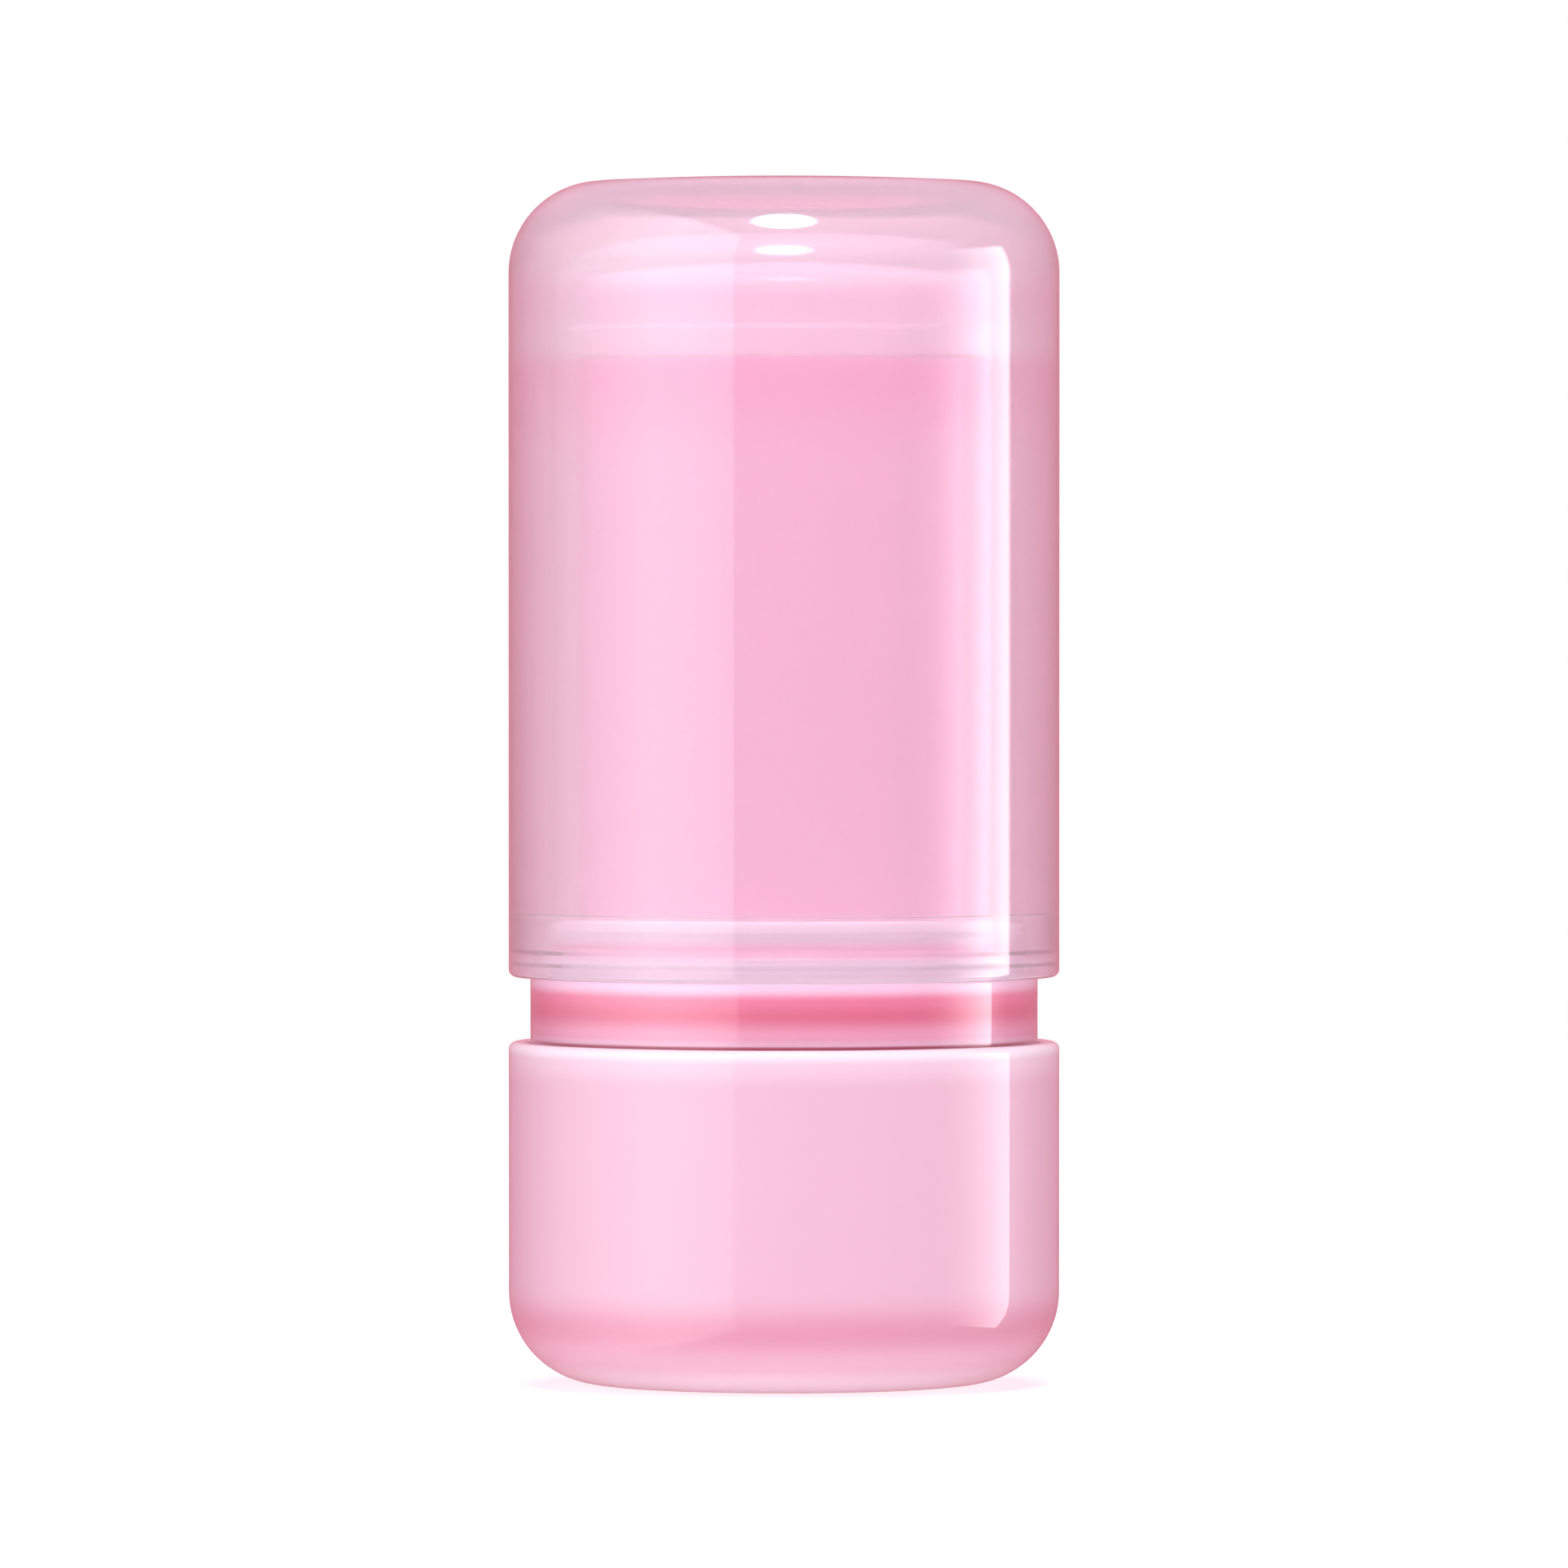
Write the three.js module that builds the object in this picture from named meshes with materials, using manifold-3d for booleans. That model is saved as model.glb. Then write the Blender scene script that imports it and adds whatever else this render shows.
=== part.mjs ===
// A twist-up balm stick: a domed cap and an inner lid over a barrel of solid balm, on a round base.
// Turning the barrel against the base drives the balm's carrier up a coarse screw.
// The inner lid and the cap pull straight off, one after the other.
// Units are millimetres, +Z is up, and the origin is the centre of the base's underside.
import * as THREE from "three";
import { mergeVertices } from "three/addons/utils/BufferGeometryUtils.js";
import Module from "manifold-3d";

const wasm = await Module();
wasm.setup();

// ---- Fineness of the round faces ----
const ROUND = 32; // sides of a large turned piece
const FINE_ROUND = 16; // sides of a small turned piece, and steps in one turn of the screw
const ARC_STEPS = 3; // steps in a quarter round
const CROWN_STEPS = 3; // steps from the edge of a crowned top to its middle
const MERGE_MM = 1e-4; // vertices closer than this are one

// ---- Driving dimensions: the screw and its drive ----
const SCREW_CORE_R = 2.0;
const THREAD_DEPTH = 0.8;
const THREAD_LEAD = 4.0; // rise in one turn, on a single start
const THREAD_ROOT_WIDTH = 1.8;
const THREAD_CREST_WIDTH = 1.0;
const THREAD_CLEARANCE = 0.15;
const SCREW_TIP = 0.6;
const BEARING_NECK_OVER_THREAD = 0.1; // the plain neck is this much larger than the thread
const THRUST_FLANGE_R = 6.5;
const THRUST_FLANGE_THICK = 1.5;
const DRIVE_HEX_R = 3.6; // to the corners
const DRIVE_LENGTH = 6.8;
const DRIVE_CLEARANCE = 0.15;
const DRIVE_BOTTOM_GAP = 0.2;
const SEAL_CORD_R = 0.6;

// ---- Driving dimensions: radii, from the balm outwards ----
const BALM_R = 9.8;
const BALM_CLEARANCE = 0.2;
const BARREL_WALL = 1.3;
const LID_CLEARANCE = 0.1;
const LID_WALL = 0.45;
const LID_FLANGE = 0.55; // how far the grip flange stands out of the lid's wall
const CAP_CLEARANCE = 0.3;
const CAP_WALL = 2.3;
const CAP_MOUTH_STEP = 0.7; // how much wider the cap's mouth is than its bore
const CAP_MOUTH_LAND = 0.1; // how much narrower the mouth is above the snap than at it
const NECK_INSET = 1.18; // how far the collar's neck is set in from the cap and the base
const BASE_WALL = 1.8;
const CORE_WALL = 1.0;
const SKIRT_WALL = 1.2;

// ---- Driving dimensions: heights, from the floor upwards ----
const BASE_HEIGHT = 18.6;
const BASE_FLOOR = 2.0;
const NECK_HEIGHT = 3.55; // of the neck that shows between the base and the cap
const SPIGOT_HEIGHT = 3.4; // of the collar inside the cap
const BARREL_SEAT = 1.0; // of the barrel's seat above the base's rim
const BARREL_LENGTH = 39.8;
const BARREL_FLOOR = 1.8;
const CARRIER_HEIGHT = 7.0;
const CARRIER_FLOOR = 1.2;
const NUT_LENGTH = 5.0;
const CARRIER_MARGIN = 2.9; // left between the carrier and the barrel's mouth when it is fully up
const LID_GRIP = 3.64; // how far the lid reaches down the barrel
const LID_FLANGE_HEIGHT = 1.68;
const LID_DOME_HEIGHT = 2.75; // of the lid's crown above the barrel's mouth
const LID_TOP_WALL = 0.7;
const BALM_HEADROOM = 0.6; // between the balm's crown and the lid
const CAP_HEADROOM = 0.55; // between the lid's crown and the cap
const CAP_TOP_WALL = 3.0;

// ---- Rounds, small features and running clearances ----
const CAP_CORNER_R = 5.0;
const CAP_INNER_CORNER_R = 2.7;
const CAP_CROWN = 0.25;
const BASE_CORNER_R = 5.0;
const BASE_INNER_CORNER_R = 3.2;
const RIM_ROUND = 0.4; // at the cap's mouth and the base's rim
const FOOT_WIDTH = 2.0;
const FOOT_RECESS = 0.4;
const RIM_DEPTH = 1.0; // of the recess that the neck turns in
const RUN_CLEARANCE = 0.13;
const SEAT_CLEARANCE = 0.1; // between pieces that are pressed or clipped together
const END_GAP = 0.3;
const SNAP_HEIGHT = 0.2; // of the cap's snap bead
const SNAP_RISE = 1.15; // of the snap bead above the neck
const SNAP_HALF = 0.45; // half the height of the groove for it
const WAIST_DEPTH = 0.25;
const CLIP_HEIGHT = 0.35; // of the bead that keeps the collar in the base
const CLIP_HALF = 0.5;
const CLIP_RISE = 1.9; // of that bead above the collar's lower edge
const BARREL_BEAD = 0.25;
const BARREL_BEAD_RISE = 1.4;
const SMALL_CHAMFER = 0.2;
const SEAT_CHAMFER = 0.1; // where the cap sits on the neck
const SKIRT_LENGTH = 6.2;
const LEDGE_THICK = 1.2;
const LEDGE_WIDTH = 2.8; // how far the barrel's seat reaches in from the skirt
const GUIDES = 4;
const GUIDE_WIDTH = 1.6;
const GUIDE_DEPTH = 0.55;
const LUG_HEIGHT = 2.5;
const CUP_WALL = 0.9;
const CUP_RIB_THICK = 0.8;
const CUP_RIB_HEIGHT = 2.8;
const NUT_WALL = 1.25;
const LID_CORNER_R = 1.0;
const BALM_CORNER_R = 1.2;
const DECK_THICK = 1.5;
const SOCKET_WALL = 1.2;
const FOOT_RING_R = 9.0;
const FOOT_RING_WALL = 1.0;
const WEBS = 6;
const WEB_THICK = 1.0;
const RETAINER = 0.25; // height of the ridge that keeps the core in the base
const OVERLAP = 0.3; // how far joined solids are sunk into each other before the join

// ---- Worked out: radii ----
const threadR = SCREW_CORE_R + THREAD_DEPTH;
const bearingNeckR = threadR + BEARING_NECK_OVER_THREAD;
const barrelHoleR = bearingNeckR + 2 * SEAT_CLEARANCE;
const sealR = bearingNeckR + SEAL_CORD_R + SEAT_CLEARANCE / 2; // middle of the seal's cord
const glandR = sealR + SEAL_CORD_R + 2 * SEAT_CLEARANCE;
const barrelBore = BALM_R + BALM_CLEARANCE;
const barrelR = barrelBore + BARREL_WALL;
const lidBore = barrelR + LID_CLEARANCE;
const lidR = lidBore + LID_WALL;
const lidFlangeR = lidR + LID_FLANGE;
const capBore = lidFlangeR + CAP_CLEARANCE;
const outerR = capBore + CAP_WALL;
const mouthBore = capBore + CAP_MOUTH_STEP;
const mouthLandR = mouthBore - CAP_MOUTH_LAND;
const snapR = mouthBore - SEAT_CLEARANCE;
const spigotR = snapR - SNAP_HEIGHT;
const waistR = spigotR - WAIST_DEPTH;
const neckR = outerR - NECK_INSET;
const collarBore = barrelR + SEAT_CLEARANCE;
const rimBore = neckR + RUN_CLEARANCE;
const baseBore = outerR - BASE_WALL;
const coreR = baseBore - SEAT_CLEARANCE;
const coreBore = coreR - CORE_WALL;
const skirtR = coreBore - RUN_CLEARANCE;
const skirtBore = skirtR - SKIRT_WALL;
const ledgeR = skirtBore - LEDGE_WIDTH;
const nutBore = SCREW_CORE_R + THREAD_CLEARANCE;
const nutR = threadR + THREAD_CLEARANCE + NUT_WALL;
const cupR = barrelBore - 1.5 * SEAT_CLEARANCE;
const cupBore = cupR - CUP_WALL;
const socketR = DRIVE_HEX_R + DRIVE_CLEARANCE + SOCKET_WALL;

// ---- Worked out: heights in the whole stick ----
const neckTop = BASE_HEIGHT + NECK_HEIGHT;
const rimFloor = BASE_HEIGHT - RIM_DEPTH;
const neckBottom = rimFloor + END_GAP;
const barrelBottom = BASE_HEIGHT + BARREL_SEAT;
const barrelTop = barrelBottom + BARREL_LENGTH;
const skirtBottom = barrelBottom - LEDGE_THICK - SKIRT_LENGTH;
const thrustFaceZ = barrelBottom - SEAT_CLEARANCE; // top of the spindle's flange
const carrierBottom = barrelBottom + BARREL_FLOOR + SEAT_CLEARANCE;
const stroke = BARREL_LENGTH - BARREL_FLOOR - SEAT_CLEARANCE - CARRIER_HEIGHT - CARRIER_MARGIN;
const threadTop = carrierBottom + NUT_LENGTH + stroke;
const lidBottom = barrelTop - LID_GRIP;
const lidCrownZ = barrelTop + LID_DOME_HEIGHT;
const lidCeilingZ = lidCrownZ - LID_TOP_WALL;
const balmBottom = carrierBottom + CARRIER_FLOOR;
const balmTop = lidCeilingZ - BALM_HEADROOM;
const capCeilingZ = lidCrownZ + CAP_HEADROOM;
const capTop = capCeilingZ + CAP_TOP_WALL;
const coreTop = rimFloor - RETAINER - 2 * SEAT_CLEARANCE;
const socketTop = thrustFaceZ - THRUST_FLANGE_THICK;
const deckTop = socketTop - DRIVE_LENGTH - DRIVE_BOTTOM_GAP;

// ---- Shape helpers ----

// Points of an arc about (r, z), between two angles in degrees.
function arc(r, z, radius, from, to, steps = ARC_STEPS) {
  return Array.from({ length: steps + 1 }, (_, i) => {
    const angle = THREE.MathUtils.degToRad(from + ((to - from) * i) / steps);
    return [r + radius * Math.cos(angle), z + radius * Math.sin(angle)];
  });
}

// Points of a crowned top or ceiling, from its edge at (radius, z) in to the axis.
function crown(radius, z, height) {
  return Array.from({ length: CROWN_STEPS }, (_, i) => {
    const share = 1 - (i + 1) / CROWN_STEPS;
    return [radius * share, z + height * (1 - share * share)];
  });
}

// A closed mesh as a solid, with its shared vertices merged and its empty triangles left out.
function solidOf(geometry) {
  const bare = new THREE.BufferGeometry();
  bare.setAttribute("position", geometry.getAttribute("position"));
  bare.setIndex(geometry.index);
  const merged = mergeVertices(bare, MERGE_MM);
  const corners = merged.index.array;
  const triVerts = [];
  for (let i = 0; i < corners.length; i += 3) {
    const [a, b, c] = corners.subarray(i, i + 3);
    if (a !== b && b !== c && c !== a) triVerts.push(a, b, c);
  }
  const vertProperties = new Float32Array(merged.getAttribute("position").array);
  const mesh = new wasm.Mesh({ numProp: 3, vertProperties, triVerts: new Uint32Array(triVerts) });
  return new wasm.Manifold(mesh);
}

// A solid's surface as a geometry, flat shaded.
function geometryOf(solid) {
  const mesh = solid.getMesh();
  const geometry = new THREE.BufferGeometry();
  geometry.setAttribute("position", new THREE.BufferAttribute(new Float32Array(mesh.vertProperties), 3));
  geometry.setIndex(new THREE.BufferAttribute(new Uint32Array(mesh.triVerts), 1));
  const flat = geometry.toNonIndexed();
  flat.computeVertexNormals();
  return flat;
}

// A profile of [radius, height] points turned about +Z. It runs out along the bottom, up the outside,
// in along the top and down the inside, and it starts and ends on the axis or closes on itself.
function turned(profile, sides = ROUND) {
  const points = profile.map(([r, z]) => new THREE.Vector2(r, z));
  if (profile[0][0] > 0) points.push(points[0].clone());
  return solidOf(new THREE.LatheGeometry(points, sides).rotateX(Math.PI / 2));
}

// A plain cylinder about the axis, to cut with or to join.
function cylinder(radius, fromZ, toZ, sides = FINE_ROUND) {
  return turned([[0, fromZ], [radius, fromZ], [radius, toZ], [0, toZ]], sides);
}

// Boxes spaced evenly round the axis, each from one radius out to another.
function spokes(count, fromR, toR, width, fromZ, toZ) {
  return Array.from({ length: count }, (_, i) => {
    const box = new THREE.BoxGeometry(toR - fromR, width, toZ - fromZ);
    box.translate((fromR + toR) / 2, 0, (fromZ + toZ) / 2);
    return solidOf(box.rotateZ((2 * Math.PI * i) / count));
  });
}

const joined = (solids) => solids.reduce((whole, next) => whole.add(next));
const cut = (solid, tools) => tools.reduce((left, tool) => left.subtract(tool), solid);

// The screw's ridge: a trapezoid carried up a right-hand helix. It grows by the clearance on every side
// when it cuts the nut, and phaseZ is the height of the piece's own zero on the spindle.
function helicalRidge(fromZ, toZ, phaseZ, clearance) {
  const sunkR = SCREW_CORE_R - OVERLAP;
  const crestR = threadR + clearance;
  const rootHalf = THREAD_ROOT_WIDTH / 2 + clearance;
  const crestHalf = THREAD_CREST_WIDTH / 2 + clearance;
  const section = [[sunkR, -rootHalf], [crestR, -crestHalf], [crestR, crestHalf], [sunkR, rootHalf]];
  const steps = Math.ceil(((toZ - fromZ) / THREAD_LEAD) * FINE_ROUND);
  const positions = [];
  for (let i = 0; i <= steps; i++) {
    const z = fromZ + ((toZ - fromZ) * i) / steps;
    const angle = (2 * Math.PI * (z + phaseZ)) / THREAD_LEAD;
    for (const [r, dz] of section) positions.push(r * Math.cos(angle), r * Math.sin(angle), z + dz);
  }
  const n = section.length;
  const faces = [0, 1, 2, 0, 2, 3];
  for (let i = 0; i < steps; i++) {
    for (let k = 0; k < n; k++) {
      const [a, b] = [i * n + k, i * n + ((k + 1) % n)];
      faces.push(b, a, a + n, b, a + n, b + n);
    }
  }
  const last = steps * n;
  faces.push(last, last + 2, last + 1, last, last + 3, last + 2);
  const geometry = new THREE.BufferGeometry();
  geometry.setAttribute("position", new THREE.Float32BufferAttribute(positions, 3));
  geometry.setIndex(faces);
  return solidOf(geometry);
}

// ---- The base, which is held while the barrel is turned ----

// Outer shell of the base, with a foot ring underneath and a recess in its rim for the neck.
function baseShell() {
  const cornerR = outerR - BASE_CORNER_R;
  const footBore = cornerR - FOOT_WIDTH;
  const innerCornerR = baseBore - BASE_INNER_CORNER_R;
  return turned([
    [0, FOOT_RECESS],
    [footBore, FOOT_RECESS],
    [footBore, 0],
    ...arc(cornerR, BASE_CORNER_R, BASE_CORNER_R, -90, 0, 2 * ARC_STEPS),
    ...arc(outerR - RIM_ROUND, BASE_HEIGHT - RIM_ROUND, RIM_ROUND, 0, 90, 2),
    [rimBore, BASE_HEIGHT],
    [rimBore, rimFloor],
    [baseBore - RETAINER, rimFloor],
    [baseBore - RETAINER, rimFloor - RETAINER],
    [baseBore, rimFloor - 2 * RETAINER],
    ...arc(innerCornerR, BASE_FLOOR + BASE_INNER_CORNER_R, BASE_INNER_CORNER_R, 0, -90),
    [0, BASE_FLOOR],
  ]);
}

// Inner core of the base, standing on the shell's floor: the spindle's socket, the clip's groove
// and the webs that carry one from the other. Its own zero is the underside of its foot ring.
function baseCore() {
  const top = coreTop - BASE_FLOOR;
  const deck = deckTop - BASE_FLOOR;
  const deckBottom = deck - DECK_THICK;
  const wallBottom = BASE_INNER_CORNER_R + SEAT_CLEARANCE;
  const clipZ = skirtBottom + CLIP_RISE - BASE_FLOOR;
  const grooveR = skirtR + CLIP_HEIGHT + 1.5 * RUN_CLEARANCE;
  const body = turned([
    [0, deckBottom],
    [FOOT_RING_R - FOOT_RING_WALL, deckBottom],
    [FOOT_RING_R - FOOT_RING_WALL, 0],
    [FOOT_RING_R, 0],
    [FOOT_RING_R, deckBottom],
    [coreBore, deckBottom],
    [coreBore, wallBottom],
    [coreR, wallBottom],
    [coreR, top],
    [coreBore + OVERLAP, top],
    [coreBore, top - OVERLAP],
    [coreBore, clipZ + CLIP_HALF + RUN_CLEARANCE],
    [grooveR, clipZ + CLIP_HALF / 2 + RUN_CLEARANCE],
    [grooveR, clipZ - CLIP_HALF / 2 - RUN_CLEARANCE],
    [coreBore, clipZ - CLIP_HALF - RUN_CLEARANCE],
    [coreBore, deck],
    [socketR, deck],
    [socketR, socketTop - BASE_FLOOR],
    [0, socketTop - BASE_FLOOR],
  ]);
  const [webFromR, webToR] = [FOOT_RING_R - OVERLAP, coreBore + OVERLAP];
  const webs = spokes(WEBS, webFromR, webToR, WEB_THICK, wallBottom, deckBottom + OVERLAP);
  const socket = cylinder(DRIVE_HEX_R + DRIVE_CLEARANCE, deck, socketTop - BASE_FLOOR + OVERLAP, 6);
  return cut(joined([body, ...webs]), [socket]);
}

// The screw, with the flange that bears on the barrel's floor and the hexagon that the core drives.
// Its own zero is the flange's upper face.
function spindle() {
  const flangeBottom = -THRUST_FLANGE_THICK;
  const neckEnd = carrierBottom - thrustFaceZ - SEAT_CLEARANCE / 2;
  const screwEnd = threadTop - thrustFaceZ;
  const shaft = turned([
    [0, flangeBottom],
    [THRUST_FLANGE_R - SMALL_CHAMFER, flangeBottom],
    [THRUST_FLANGE_R, flangeBottom + SMALL_CHAMFER],
    [THRUST_FLANGE_R, 0],
    [bearingNeckR, 0],
    [bearingNeckR, neckEnd - SMALL_CHAMFER],
    [SCREW_CORE_R, neckEnd],
    [SCREW_CORE_R, screwEnd],
    [SCREW_CORE_R - SCREW_TIP, screwEnd + SCREW_TIP],
    [0, screwEnd + SCREW_TIP],
  ], FINE_ROUND);
  const hexBottom = flangeBottom - DRIVE_LENGTH;
  const hex = turned([
    [0, hexBottom],
    [DRIVE_HEX_R - SMALL_CHAMFER, hexBottom],
    [DRIVE_HEX_R, hexBottom + SMALL_CHAMFER],
    [DRIVE_HEX_R, flangeBottom + OVERLAP],
    [0, flangeBottom + OVERLAP],
  ], 6);
  const ridgeHalf = THREAD_ROOT_WIDTH / 2;
  return joined([shaft, hex, helicalRidge(neckEnd + ridgeHalf, screwEnd - ridgeHalf, 0, 0)]);
}

// Rubber ring between the spindle's flange and the barrel's floor. Its zero is the flange's face.
function spindleSeal() {
  return turned(arc(sealR, SEAL_CORD_R, SEAL_CORD_R, -90, 225, 7), FINE_ROUND);
}

// ---- The collar and the barrel, which turn together on the base ----

// Collar: the skirt that clips into the base, the neck that shows, and the spigot that takes the cap.
// Its own zero is the top of the neck, where the cap sits.
function collar() {
  const bottom = skirtBottom - neckTop;
  const clipZ = bottom + CLIP_RISE;
  const shoulder = neckBottom - neckTop;
  const seat = barrelBottom - neckTop;
  const beadZ = seat + BARREL_BEAD_RISE;
  const grooveR = collarBore + BARREL_BEAD;
  const waistBottom = SNAP_RISE + SNAP_HALF;
  const waistTop = SPIGOT_HEIGHT - 2 * SNAP_HALF;
  return turned([
    [skirtBore, bottom],
    [skirtR - SMALL_CHAMFER, bottom],
    [skirtR, bottom + SMALL_CHAMFER],
    [skirtR, clipZ - CLIP_HALF],
    [skirtR + CLIP_HEIGHT, clipZ - CLIP_HALF / 2],
    [skirtR + CLIP_HEIGHT, clipZ + CLIP_HALF / 2],
    [skirtR, clipZ + CLIP_HALF],
    [skirtR, shoulder],
    [neckR - SMALL_CHAMFER, shoulder],
    [neckR, shoulder + SMALL_CHAMFER],
    [neckR, -SEAT_CHAMFER],
    [neckR - SEAT_CHAMFER, 0],
    [spigotR, 0],
    [spigotR, SNAP_RISE - SNAP_HALF],
    [snapR, SNAP_RISE - SNAP_HALF / 3],
    [snapR, SNAP_RISE + SNAP_HALF / 3],
    [spigotR, waistBottom],
    [waistR, waistBottom + SNAP_HEIGHT],
    [waistR, waistTop],
    [spigotR, waistTop + SNAP_HEIGHT],
    ...arc(spigotR - OVERLAP, SPIGOT_HEIGHT - OVERLAP, OVERLAP, 0, 90, 2),
    [collarBore, SPIGOT_HEIGHT],
    [collarBore, beadZ + CLIP_HALF],
    [grooveR, beadZ + CLIP_HALF / 2],
    [grooveR, beadZ - CLIP_HALF / 2],
    [collarBore, beadZ - CLIP_HALF],
    [collarBore, seat],
    [ledgeR, seat],
    [ledgeR, seat - LEDGE_THICK],
    [skirtBore, seat - LEDGE_THICK],
  ]);
}

// Barrel: a tube with a floor for the spindle's seal and upright guides cut in its bore, open at the top.
// Its own zero is its underside.
function barrel() {
  const beadR = barrelR + BARREL_BEAD;
  const beadHalf = CLIP_HALF - SEAT_CLEARANCE;
  const glandDepth = 2 * SEAL_CORD_R - SEAT_CLEARANCE;
  const tube = turned([
    [barrelHoleR, BARREL_FLOOR],
    [barrelHoleR, glandDepth],
    [glandR, glandDepth],
    [glandR, 0],
    [barrelR - SMALL_CHAMFER, 0],
    [barrelR, SMALL_CHAMFER],
    [barrelR, BARREL_BEAD_RISE - beadHalf],
    [beadR, BARREL_BEAD_RISE - beadHalf / 2],
    [beadR, BARREL_BEAD_RISE + beadHalf / 2],
    [barrelR, BARREL_BEAD_RISE + beadHalf],
    ...arc(barrelR - OVERLAP, BARREL_LENGTH - OVERLAP, OVERLAP, 0, 90, 2),
    [barrelBore + SMALL_CHAMFER, BARREL_LENGTH],
    [barrelBore, BARREL_LENGTH - SMALL_CHAMFER],
    [barrelBore, BARREL_FLOOR],
  ]);
  const guides = spokes(
    GUIDES,
    barrelBore - 2 * OVERLAP,
    barrelBore + GUIDE_DEPTH,
    GUIDE_WIDTH,
    BARREL_FLOOR,
    BARREL_LENGTH + OVERLAP,
  );
  return cut(tube, guides);
}

// ---- The carrier and the balm, which rise together in the barrel ----

// Carrier: a cup with a threaded nut in its middle, ribs that grip the balm and lugs in the guides.
// Its own zero is its underside.
function balmCarrier() {
  const cup = turned([
    [0, 0],
    [cupR - SMALL_CHAMFER, 0],
    [cupR, SMALL_CHAMFER],
    [cupR, CARRIER_HEIGHT],
    [cupBore, CARRIER_HEIGHT],
    [cupBore, CARRIER_FLOOR],
    [nutR, CARRIER_FLOOR],
    [nutR, NUT_LENGTH],
    [0, NUT_LENGTH],
  ]);
  const [ribFromZ, ribToZ] = [CARRIER_FLOOR - OVERLAP, CARRIER_FLOOR + CUP_RIB_HEIGHT];
  const ribs = spokes(GUIDES, nutR - OVERLAP, cupBore + OVERLAP, CUP_RIB_THICK, ribFromZ, ribToZ);
  const lugR = barrelBore + GUIDE_DEPTH - SEAT_CLEARANCE;
  const lugWidth = GUIDE_WIDTH - 2 * SEAT_CLEARANCE;
  const lugs = spokes(GUIDES, cupR - 2 * OVERLAP, lugR, lugWidth, SMALL_CHAMFER, LUG_HEIGHT);
  const bore = cylinder(nutBore, -OVERLAP, NUT_LENGTH + OVERLAP);
  const thread = helicalRidge(
    -THREAD_ROOT_WIDTH,
    NUT_LENGTH + THREAD_ROOT_WIDTH,
    carrierBottom - thrustFaceZ,
    THREAD_CLEARANCE,
  );
  return cut(joined([cup, ...ribs, ...lugs]), [bore, thread]);
}

// Balm: cast into the carrier's cup and over its ribs, with a bore round the screw and a crowned top.
// Its own zero is where it lies on the carrier's floor.
function balmStick() {
  const shoulder = CARRIER_HEIGHT - CARRIER_FLOOR;
  const nutTop = NUT_LENGTH - CARRIER_FLOOR + SEAT_CLEARANCE;
  const boreR = threadR + 3 * SEAT_CLEARANCE;
  const boreTop = threadTop + SCREW_TIP + END_GAP - balmBottom;
  const top = balmTop - balmBottom;
  const crownR = BALM_R - BALM_CORNER_R * (1 - Math.sin(THREE.MathUtils.degToRad(15)));
  const crownHeight = 0.5 * crownR * Math.tan(THREE.MathUtils.degToRad(15));
  const cornerZ = top - crownHeight - BALM_CORNER_R * Math.cos(THREE.MathUtils.degToRad(15));
  const body = turned([
    [0, boreTop],
    [boreR, boreTop],
    [boreR, nutTop],
    [nutR + SEAT_CLEARANCE, nutTop],
    [nutR + SEAT_CLEARANCE, 0],
    [cupBore - SEAT_CLEARANCE, 0],
    [cupBore - SEAT_CLEARANCE, shoulder],
    [BALM_R, shoulder],
    ...arc(BALM_R - BALM_CORNER_R, cornerZ, BALM_CORNER_R, 0, 75, ARC_STEPS),
    ...crown(crownR, top - crownHeight, crownHeight),
  ]);
  const slots = spokes(
    GUIDES,
    nutR - OVERLAP,
    cupBore + OVERLAP,
    CUP_RIB_THICK + 2 * SEAT_CLEARANCE,
    -OVERLAP,
    CUP_RIB_HEIGHT + SEAT_CLEARANCE,
  );
  return cut(body, slots);
}

// ---- The inner lid and the cap, which pull off upwards ----

// Inner lid: a thin crowned cover that grips the barrel's mouth, with a flange to lift it by.
// Its own zero is its lower edge.
function innerLid() {
  const seat = LID_GRIP;
  const top = lidCrownZ - lidBottom;
  const ceiling = lidCeilingZ - lidBottom;
  const edgeSlope = 18; // degrees, where the crown meets the rounded corner
  const cornerR = lidR - LID_CORNER_R;
  const crownR = cornerR + LID_CORNER_R * Math.sin(THREE.MathUtils.degToRad(edgeSlope));
  const crownHeight = 0.5 * crownR * Math.tan(THREE.MathUtils.degToRad(edgeSlope));
  const cornerZ = top - crownHeight - LID_CORNER_R * Math.cos(THREE.MathUtils.degToRad(edgeSlope));
  const innerCrownR = barrelBore + OVERLAP;
  return turned([
    ...crown(innerCrownR, seat, ceiling - seat).reverse(),
    [innerCrownR, seat],
    [lidBore, seat],
    [lidBore, SMALL_CHAMFER],
    [lidBore + SMALL_CHAMFER, 0],
    [lidFlangeR - SMALL_CHAMFER, 0],
    [lidFlangeR, SMALL_CHAMFER],
    [lidFlangeR, LID_FLANGE_HEIGHT - SMALL_CHAMFER],
    [lidFlangeR - SMALL_CHAMFER, LID_FLANGE_HEIGHT],
    [lidR, LID_FLANGE_HEIGHT],
    ...arc(cornerR, cornerZ, LID_CORNER_R, 0, 90 - edgeSlope, ARC_STEPS),
    ...crown(crownR, top - crownHeight, crownHeight),
  ]);
}

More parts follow.
